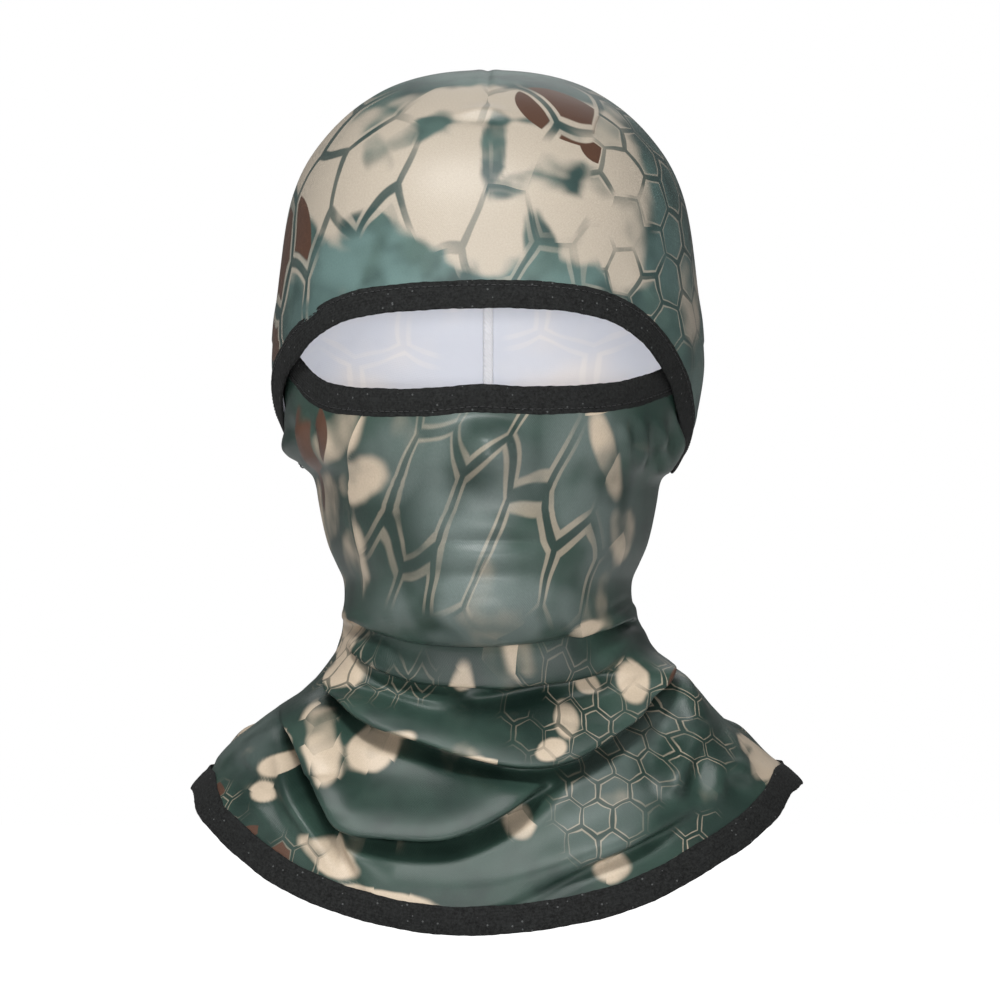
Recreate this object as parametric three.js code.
// A hinged balaclava in printed stretch jersey, in the shape it takes on a head.
// Millimetres, +Z up, the wearer faces -Y and the wearer's left is +X.
// The origin is the point inside the crown where the top of the head bears.
import * as THREE from "three";
import { mergeVertices } from "three/addons/utils/BufferGeometryUtils.js";

// ---- Driving dimensions -------------------------------------------------------------------------

const FABRIC = 1.6; // wall of a fabric panel, thicker than the jersey so that it is a firm solid
const GAP = 0.3; // clearance between edges that are sewn together
const LAY = 0.7; // clearance between curved pieces that lie on each other
const BINDING_WIDTH = 10.5; // face of the folded elastic binding on the face opening
const HEM_BINDING_WIDTH = 11.5;
const BINDING_THICKNESS = 2.8; // two layers of binding with the fabric's edge between them
const STITCH_RADIUS = 0.5;
const STITCH_INSET = 1.8; // from the binding's inner edge to its row of stitches
const SEAM_WIDTH = 2.4; // overlocked seam allowance, measured across the seam
const SEAM_HEIGHT = 4.0; // how far the allowance stands in from the fabric

const CROWN_TOP = FABRIC; // the outside of the crown
const WIDEST_Z = -104; // height at which the hood is widest
const HOOD_HALF_WIDTH = 84;
const HOOD_FRONT = 98; // from the vertical axis to the forehead
const HOOD_BACK = 100;
const HEAD_SQUARENESS = 2.3; // exponent of the head's sections: 2 is an ellipse
const NECK_SQUARENESS = 2.4;

const HINGE_Y = 12; // axis of the bar tacks that join the hood's edge to the mask
const HINGE_Z = -150;
const TACK_RADIUS = 3;
const MASK_RADIUS = 124; // from the hinge axis to the front of the turning mask edge
const MASK_HALF_WIDTH = 69.8;
const MASK_RISE_FRONT = 27.5; // mask's top edge above the hinge axis, at the nose
const MASK_RISE_SIDE = 38; // and where it passes under the hood
const MASK_ARM_END = 36; // radius about the hinge at which the binding ends
const MASK_LOWER_ANGLE = 2; // degrees above the axis at which the turning part ends
const MASK_LAP = 8; // how far the fixed panel runs up behind the turning part

const NECK_LINE_Z = -236; // fold under the chin, where throat and cape meet
const NAPE_Z = -172; // seam between the hood and the back of the cape, at the nape
const JAW_CORNER_Z = -158; // lowest point of the hood's front edge
const SIDE_SEAM_ANGLE = 90; // azimuth of the seams that join front and back panels

const LABEL = { width: 24, length: 34, thickness: 0.8 };

// ---- Curves that give the form ------------------------------------------------------------------

// A smooth function through a few [position, value] pairs, in rising order of position.
function through(pairs) {
  const slope = (i) => {
    const a = pairs[Math.max(i - 1, 0)];
    const b = pairs[Math.min(i + 1, pairs.length - 1)];
    return (b[1] - a[1]) / (b[0] - a[0]);
  };
  return (at) => {
    const x = THREE.MathUtils.clamp(at, pairs[0][0], pairs[pairs.length - 1][0]);
    let i = 0;
    while (i < pairs.length - 2 && x > pairs[i + 1][0]) i += 1;
    const [x0, y0] = pairs[i];
    const [x1, y1] = pairs[i + 1];
    const h = x1 - x0;
    const t = (x - x0) / h;
    const rise = (y1 - y0) * t * t * (3 - 2 * t);
    return y0 + rise + h * (slope(i) * t * (1 - t) ** 2 - slope(i + 1) * t * t * (1 - t));
  };
}

// The cape's hem, by azimuth from the front: low at front and back, high over the shoulders.
const HEM_FRONT_Z = -336;
const HEM_SHOULDER_Z = -285;
const HEM_BACK_Z = -322;

// Lower form, from the mask down to the hem: half width, front and back reach by height.
const LOWER_HALF_WIDTH = through([
  [-340, 121], [-290, 119.5], [-274, 112], [-256, 95], [-240, 77], [-226, 62],
  [-210, 57], [-196, 58], [-182, 62], [-166, 65], [-150, 64], [-138, 63.5],
]);
const LOWER_FRONT = through([
  [-340, 99], [-310, 93], [-280, 82], [-256, 68], [-240, 61], [-230, 69],
  [-216, 86], [-204, 95], [-190, 101.6], [-170, 107], [-150, 109.8], [-138, 108.1],
]);
const LOWER_BACK = through([
  [-330, 103], [-290, 96], [-260, 84], [-230, 70], [-200, 64], [-172, 71], [-150, 76],
]);

// Hood below its widest level: half width, front and back as shares of the widest ones.
const HOOD_NARROWING = through([
  [-175, 0.77], [-160, 0.83], [-150, 0.9], [-140, 0.945], [-125, 0.982], [WIDEST_Z, 1],
]);
const HOOD_BACK_NARROWING = through([
  [-175, 0.71], [-160, 0.79], [-140, 0.9], [-125, 0.965], [WIDEST_Z, 1],
]);

// Height of the hood's own edge by azimuth: brow, temple, jaw corner and round to the nape.
const HOOD_EDGE = through([
  [0, -82], [20, -84], [38, -90], [50, -100], [60, -111], [72, -126], [84, -144],
  [95, JAW_CORNER_Z], [120, -163], [150, -170], [180, NAPE_Z],
]);

const degrees = THREE.MathUtils.degToRad;

// A point on a section with the given reaches, by azimuth in degrees: 0 is the front, 90 the left.
function onSection(azimuth, halfWidth, front, back, squareness) {
  const a = degrees(azimuth);
  const x = Math.sin(a);
  const y = -Math.cos(a);
  const reach = y < 0 ? front : back;
  const sum = Math.abs(x / halfWidth) ** squareness + Math.abs(y / reach) ** squareness;
  const size = sum ** (-1 / squareness);
  return [x * size, y * size];
}

function hoodPoint(azimuth, z) {
  const height = CROWN_TOP - WIDEST_Z;
  let wide;
  let back;
  if (z > WIDEST_Z) {
    const share = Math.min((z - WIDEST_Z) / height, 1);
    wide = (1 - share ** HEAD_SQUARENESS) ** (1 / HEAD_SQUARENESS);
    back = wide;
  } else {
    wide = HOOD_NARROWING(z);
    back = HOOD_BACK_NARROWING(z);
  }
  const small = 1e-4;
  const side = HOOD_HALF_WIDTH * wide + small;
  const front = HOOD_FRONT * wide + small;
  const [x, y] = onSection(azimuth, side, front, HOOD_BACK * back + small, HEAD_SQUARENESS);
  return new THREE.Vector3(x, y, z);
}

function lowerPoint(azimuth, z) {
  const side = LOWER_HALF_WIDTH(z);
  const [x, y] = onSection(azimuth, side, LOWER_FRONT(z), LOWER_BACK(z), NECK_SQUARENESS);
  return new THREE.Vector3(x, y, z);
}

// A point on the turning mask edge: side runs from -1 to 1 across it, and angle is in degrees above the
// hinge axis.
function maskPoint(side, angle) {
  const a = (side * Math.PI) / 2;
  const x = MASK_HALF_WIDTH * Math.sign(a) * Math.abs(Math.sin(a)) ** (2 / NECK_SQUARENESS);
  const r = MASK_RADIUS * Math.cos(a) ** (2 / NECK_SQUARENESS);
  const t = degrees(angle);
  return new THREE.Vector3(x, HINGE_Y - r * Math.cos(t), HINGE_Z + r * Math.sin(t));
}

function hemZ(azimuth) {
  const a = degrees(azimuth);
  const end = Math.cos(a) > 0 ? HEM_FRONT_Z : HEM_BACK_Z;
  return HEM_SHOULDER_Z + (end - HEM_SHOULDER_Z) * Math.cos(a) ** 2;
}

// ---- Makers of sewn shapes ----------------------------------------------------------------------

// Moves each vertex of a closed geometry to place(x, y, z).
function warp(geometry, place) {
  geometry.deleteAttribute("normal");
  geometry.deleteAttribute("uv");
  const closed = mergeVertices(geometry, 1e-5);
  const position = closed.getAttribute("position");
  const from = new THREE.Vector3();
  for (let i = 0; i < position.count; i += 1) {
    from.fromBufferAttribute(position, i);
    const to = place(from.x, from.y, from.z);
    position.setXYZ(i, to.x, to.y, to.z);
  }
  return closed;
}

// Outward normal of surface(u, v), where the normal is across u then v.
function normalOf(surface, u, v) {
  const step = 1e-3;
  const du = surface(u + step, v).sub(surface(u - step, v));
  const dv = surface(u, v + step).sub(surface(u, v - step));
  return du.cross(dv).normalize();
}

// A sheet of even thickness whose outer face is surface(u, v), with u and v from 0 to 1.
function sheet(surface, across, along, thickness) {
  const slab = new THREE.BoxGeometry(1, 1, 1, across, along, 1);
  return warp(slab, (x, y, z) => {
    const u = x + 0.5;
    const v = y + 0.5;
    const depth = (0.5 - z) * thickness;
    return surface(u, v).addScaledVector(normalOf(surface, u, v), -depth);
  });
}

// The point beside path(u) on the surface that path and outward describe: aside is measured across the
// path and over is measured outwards.
function beside(path, outward, u, aside, over) {
  const along = path(u + 1e-3).sub(path(u - 1e-3)).normalize();
  const out = outward(u);
  const across = out.clone().cross(along).normalize();
  return path(u).addScaledVector(across, aside).addScaledVector(out, over);
}

// A flat ribbon beside path(u), from start to start + width across it. Its outer face is proud of the path.
function ribbon(path, outward, { start = 0, width, thickness, proud, steps }) {
  const strip = new THREE.BoxGeometry(1, 1, 1, steps, 2, 1);
  return warp(strip, (x, y, z) =>
    beside(path, outward, x + 0.5, start + (y + 0.5) * width, proud - (0.5 - z) * thickness));
}

// A row of stitches, as one round thread beside path(u).
function stitchRow(path, outward, { aside, over, steps }) {
  const points = Array.from({ length: steps + 1 }, (_, i) =>
    beside(path, outward, 0.01 + (0.98 * i) / steps, aside, over));
  const circle = new THREE.Shape().absarc(0, 0, STITCH_RADIUS, 0, 2 * Math.PI);
  return new THREE.ExtrudeGeometry(circle, {
    steps, curveSegments: 5, bevelEnabled: false, extrudePath: new THREE.CatmullRomCurve3(points),
  });
}

// The overlocked allowance of a seam that runs along path(u) on the outside of the fabric.
function seam(path, outward, steps) {
  return ribbon(path, outward, {
    start: -SEAM_WIDTH / 2, width: SEAM_WIDTH, thickness: SEAM_HEIGHT, proud: -(FABRIC + LAY), steps,
  });
}

// ---- Materials ----------------------------------------------------------------------------------

const print = new THREE.MeshStandardMaterial({ color: 0x4a6459, roughness: 0.6, metalness: 0 });
const binding = new THREE.MeshStandardMaterial({ color: 0x1d1f20, roughness: 0.9, metalness: 0 });
const thread = new THREE.MeshStandardMaterial({ color: 0x17191a, roughness: 0.8, metalness: 0 });
const paleThread = new THREE.MeshStandardMaterial({ color: 0xd9dde4, roughness: 0.8, metalness: 0 });
const labelTape = new THREE.MeshStandardMaterial({ color: 0xf0f0ee, roughness: 0.7, metalness: 0 });

const balaclava = new THREE.Group();

function add(name, geometry, material) {
  const mesh = new THREE.Mesh(geometry, material);
  mesh.name = name;
  balaclava.add(mesh);
  return mesh;
}

// ---- Hood ---------------------------------------------------------------------------------------

const normalOfHood = (azimuth, z) => normalOf(hoodPoint, azimuth, z);

// One cut piece, closed over the crown: a disc with a wall, laid over the head from the crown outwards.
function hoodPanel() {
  const rings = 13;
  const around = 44;
  const profile = [];
  for (let i = 0; i <= rings; i += 1) profile.push(new THREE.Vector2(i / rings, 1));
  for (let i = rings; i >= 0; i -= 1) profile.push(new THREE.Vector2(i / rings, 0));
  const disc = new THREE.LatheGeometry(profile, around);
  return warp(disc, (x, side, y) => {
    const share = Math.hypot(x, y);
    const depth = (1 - side) * FABRIC;
    if (share < 1e-6) return new THREE.Vector3(0, 0, CROWN_TOP - depth);
    const azimuth = THREE.MathUtils.radToDeg(Math.atan2(x, -y));
    const edge = HOOD_EDGE(Math.abs(azimuth));
    const z = CROWN_TOP - (CROWN_TOP - edge) * (1 - Math.cos((share * Math.PI) / 2));
    return hoodPoint(azimuth, z).addScaledVector(normalOfHood(azimuth, z), -depth);
  });
}
add("hood_panel", hoodPanel(), print);

// The binding of the brow and the hood's two side edges, from one jaw corner to the other. It lies inside
// the hood's edge, where it can be pushed up under the hood.
const BROW_END = 88; // azimuth at which the binding is caught in the side seam
const BROW_LAP = 2;
const BROW_CLEARANCE = 1.4; // more than elsewhere, for the hood's edge curves in towards the jaw
const BINDING_PROUD = (BINDING_THICKNESS - FABRIC) / 2;
const browAzimuth = (u) => BROW_END * (1 - 2 * u);
const browEdge = (u) => hoodPoint(browAzimuth(u), HOOD_EDGE(Math.abs(browAzimuth(u))));
const browOut = (u) => normalOfHood(browAzimuth(u), HOOD_EDGE(Math.abs(browAzimuth(u))));
add("brow_binding", ribbon(browEdge, browOut, {
  start: -BROW_LAP,
  width: BINDING_WIDTH,
  thickness: BINDING_THICKNESS,
  proud: -(FABRIC + BROW_CLEARANCE),
  steps: 44,
}), binding);
add("brow_topstitch", stitchRow(browEdge, browOut, {
  aside: STITCH_INSET, over: -(FABRIC + BROW_CLEARANCE + BINDING_THICKNESS + GAP + STITCH_RADIUS), steps: 48,
}), thread);

// The seam that closes the crown runs from the dart above the forehead to the nape, in the middle plane.
const DART_Z = -15;
const overCrown = (t) => {
  const z = CROWN_TOP - (CROWN_TOP - NAPE_Z) * (1 - Math.cos((Math.abs(t) * Math.PI) / 2));
  return hoodPoint(t < 0 ? 0 : 180, z).setX(0);
};
const dart = (2 / Math.PI) * Math.acos(1 - (CROWN_TOP - DART_Z) / (CROWN_TOP - NAPE_Z));
const crownPath = (u) => overCrown(THREE.MathUtils.lerp(-dart, 0.94, u));
const crownOut = (u) => {
  const along = crownPath(u + 0.01).sub(crownPath(u - 0.01)).normalize();
  return new THREE.Vector3(1, 0, 0).cross(along);
};
add("crown_seam", seam(crownPath, crownOut, 34), paleThread);

// ---- Mask edge that turns on the bar tacks ------------------------------------------------------

const radiusAt = (side) => HINGE_Y - maskPoint(side, 0).y;
// The binding's ends are where its radius about the hinge is MASK_ARM_END.
const armEnd = (2 / Math.PI) * Math.acos((MASK_ARM_END / MASK_RADIUS) ** (NECK_SQUARENESS / 2));
// Angle of the line that is drop below the mask's top edge.
function angleBelowTop(side, drop) {
  const rise = THREE.MathUtils.lerp(MASK_RISE_FRONT, MASK_RISE_SIDE, Math.min(1, Math.abs(side) / 0.6));
  const top = Math.min(rise, 0.95 * radiusAt(side));
  return THREE.MathUtils.radToDeg(Math.asin((top - drop) / radiusAt(side)));
}
const bindingFoot = (side) => angleBelowTop(side, BINDING_WIDTH + GAP);

const upperPanel = (u, v) => {
  const side = armEnd * (2 * u - 1);
  const top = angleBelowTop(side, BINDING_WIDTH + GAP + LAY);
  return maskPoint(side, THREE.MathUtils.lerp(MASK_LOWER_ANGLE, top, v));
};
add("mask_panel_upper", sheet(upperPanel, 34, 5, FABRIC), print);

const noseSide = (u) => armEnd * (2 * u - 1);
const noseEdge = (u) => maskPoint(noseSide(u), bindingFoot(noseSide(u)));
const noseOut = (u) => normalOf(maskPoint, noseSide(u), bindingFoot(noseSide(u)));
add("nose_binding", ribbon(noseEdge, noseOut, {
  width: BINDING_WIDTH, thickness: BINDING_THICKNESS, proud: BINDING_PROUD, steps: 36,
}), binding);
add("nose_topstitch", stitchRow(noseEdge, noseOut, {
  aside: STITCH_INSET, over: BINDING_PROUD + GAP + STITCH_RADIUS, steps: 36,
}), thread);

// ---- Chin, throat and cape ----------------------------------------------------------------------

const SEAM_HALF_GAP = 0.4; // degrees of azimuth on each side of a side seam
const FRONT_EDGE = SIDE_SEAM_ANGLE - SEAM_HALF_GAP;
const SIDE_SEAM_TOP = HINGE_Z - 20;
const frontAzimuth = (u) => FRONT_EDGE * (2 * u - 1);

// The fixed panel's top edge runs MASK_LAP up behind the turning part.
const lowerPanelTop = HINGE_Z + MASK_RADIUS * Math.sin(degrees(MASK_LOWER_ANGLE)) + MASK_LAP;
// The fold under the chin rises towards the jaw.
const neckLine = (azimuth) => NECK_LINE_Z + 22 * Math.sin(degrees(azimuth)) ** 2;

// Above the side seams its edges reach back under the hood, to the bar tacks.
const TAB_REACH = 16; // degrees of azimuth behind the side seams
const chinPanel = (u, v) => {
  const low = neckLine(frontAzimuth(u)) + GAP / 2;
  const z = THREE.MathUtils.lerp(low, lowerPanelTop, v);
  const widening = THREE.MathUtils.smoothstep(z, SIDE_SEAM_TOP + 2, SIDE_SEAM_TOP + 10);
  return lowerPoint((FRONT_EDGE + TAB_REACH * widening) * (2 * u - 1), z);
};
add("mask_panel_lower", sheet(chinPanel, 28, 12, FABRIC), print);

// Height of the hem binding's upper edge, which is square to the hem and not to the horizontal.
function hemTop(azimuth) {
  const before = lowerPoint(azimuth - 0.5, hemZ(azimuth - 0.5));
  const run = lowerPoint(azimuth + 0.5, hemZ(azimuth + 0.5)).sub(before);
  return hemZ(azimuth) + HEM_BINDING_WIDTH * Math.hypot(1, run.z / Math.hypot(run.x, run.y));
}
const capeFront = (u, v) => {
  const azimuth = frontAzimuth(u);
  return lowerPoint(azimuth, THREE.MathUtils.lerp(hemTop(azimuth) + LAY, neckLine(azimuth) - GAP / 2, v));
};
add("cape_panel_front", sheet(capeFront, 32, 10, FABRIC), print);

// The back panel is sewn to the hood's lower edge, so its top swells out to meet that edge. A wider hood
// overhangs the neck more, and the swell takes more of the panel's height.
const NAPE_SWELL = 0.22 / 84; // share of the height for each mm of the hood's half width
const backAzimuth = (u) => SIDE_SEAM_ANGLE + SEAM_HALF_GAP + (180 - SIDE_SEAM_ANGLE - SEAM_HALF_GAP) * 2 * u;
const napeEdge = (azimuth) => hoodPoint(azimuth, HOOD_EDGE(180 - Math.abs(180 - azimuth)));
function backPoint(azimuth, v) {
  const edge = napeEdge(azimuth);
  const point = lowerPoint(azimuth, THREE.MathUtils.lerp(hemTop(azimuth) + LAY, edge.z - 2 * GAP, v));
  const swell = edge.clone().sub(lowerPoint(azimuth, edge.z));
  return point.addScaledVector(swell, THREE.MathUtils.smoothstep(v, 1 - NAPE_SWELL * HOOD_HALF_WIDTH, 1));
}
const capeBack = (u, v) => backPoint(backAzimuth(u), v);
add("cape_panel_back", sheet(capeBack, 32, 16, FABRIC), print);

// The hem's binding is one length whose ends meet at the centre of the back.
const HEM_JOIN = 0.35; // half of the slit between the ends, in degrees
const hemAzimuth = (u) => 180 + HEM_JOIN + (360 - 2 * HEM_JOIN) * u;
const hemEdge = (u) => lowerPoint(hemAzimuth(u), hemZ(hemAzimuth(u)));
const hemOut = (u) => normalOf(lowerPoint, hemAzimuth(u), hemZ(hemAzimuth(u)) + HEM_BINDING_WIDTH / 2);
add("hem_binding", ribbon(hemEdge, hemOut, {
  width: HEM_BINDING_WIDTH, thickness: BINDING_THICKNESS, proud: BINDING_PROUD, steps: 64,
}), binding);
add("hem_topstitch", stitchRow(hemEdge, hemOut, {
  aside: HEM_BINDING_WIDTH - STITCH_INSET, over: BINDING_PROUD + GAP + STITCH_RADIUS, steps: 72,
}), thread);

// The turned-under end of the binding laps the join from outside.
const LAP_HALF = 4; // degrees of azimuth
const LAP_THICKNESS = 1;
const lapEdge = (u) => lowerPoint(180 + LAP_HALF * (2 * u - 1), hemZ(180));
const lapOut = () => normalOf(lowerPoint, 180, hemZ(180) + HEM_BINDING_WIDTH / 2);
add("hem_binding_lap", ribbon(lapEdge, lapOut, {
  start: 1,
  width: HEM_BINDING_WIDTH - STITCH_INSET - STITCH_RADIUS - GAP - 1,
  thickness: LAP_THICKNESS,
  proud: BINDING_PROUD + GAP + LAP_THICKNESS,
  steps: 6,
}), binding);

// ---- Seams, bar tacks and label -----------------------------------------------------------------

// Side seams join the front panel to the back one, from below the bar tack to the hem.
const sideSeamFoot = hemTop(SIDE_SEAM_ANGLE) + 3;
for (const [name, sign] of [["side_seam_left", 1], ["side_seam_right", -1]]) {
  const height = (u) => THREE.MathUtils.lerp(SIDE_SEAM_TOP, sideSeamFoot, u);
  const path = (u) => lowerPoint(sign * SIDE_SEAM_ANGLE, height(u));
  const out = (u) => normalOf(lowerPoint, sign * SIDE_SEAM_ANGLE, height(u));
  add(name, seam(path, out, 16), paleThread);
}

// The nape seam joins the hood's lower edge to the back of the cape, from ear to ear.
const NAPE_SEAM_START = 104; // azimuth
const napeAzimuth = (u) => THREE.MathUtils.lerp(NAPE_SEAM_START, 360 - NAPE_SEAM_START, u);
const napeLevel = 0.97; // share of the way up the back panel
const napePath = (u) => backPoint(napeAzimuth(u), napeLevel);
const napeOut = (u) => normalOf(backPoint, napeAzimuth(u), napeLevel);
add("nape_seam", seam(napePath, napeOut, 32), paleThread);

// Each bar tack reaches from the mask's fixed panel out to the hood's side.
const tackRim = THREE.MathUtils.radToDeg(Math.atan2(HINGE_Y + TACK_RADIUS, HOOD_HALF_WIDTH * 0.88));
const maskSide = lowerPoint(SIDE_SEAM_ANGLE, HINGE_Z).x + GAP;
const hoodSide = hoodPoint(SIDE_SEAM_ANGLE + tackRim, HINGE_Z - TACK_RADIUS).x - FABRIC - 3 * GAP;
for (const [name, sign] of [["hinge_tack_left", 1], ["hinge_tack_right", -1]]) {
  const tack = new THREE.CylinderGeometry(TACK_RADIUS, TACK_RADIUS, hoodSide - maskSide, 12);
  const mesh = add(name, tack, thread);
  mesh.rotation.z = Math.PI / 2;
  mesh.position.set((sign * (hoodSide + maskSide)) / 2, HINGE_Y, HINGE_Z);
}

// A blank care label hangs inside the nape, from its seam.
const labelTop = napePath(0.5).z - SEAM_WIDTH / 2 - GAP;
const labelBack = Math.min(...[0, 0.5, 1].map((s) => LOWER_BACK(labelTop - s * LABEL.length)));
const labelShape = new THREE.BoxGeometry(LABEL.width, LABEL.thickness, LABEL.length);
const label = add("care_label", labelShape, labelTape);
label.position.set(0, labelBack - FABRIC - 2 * GAP - LABEL.thickness, labelTop - LABEL.length / 2);

export default balaclava;
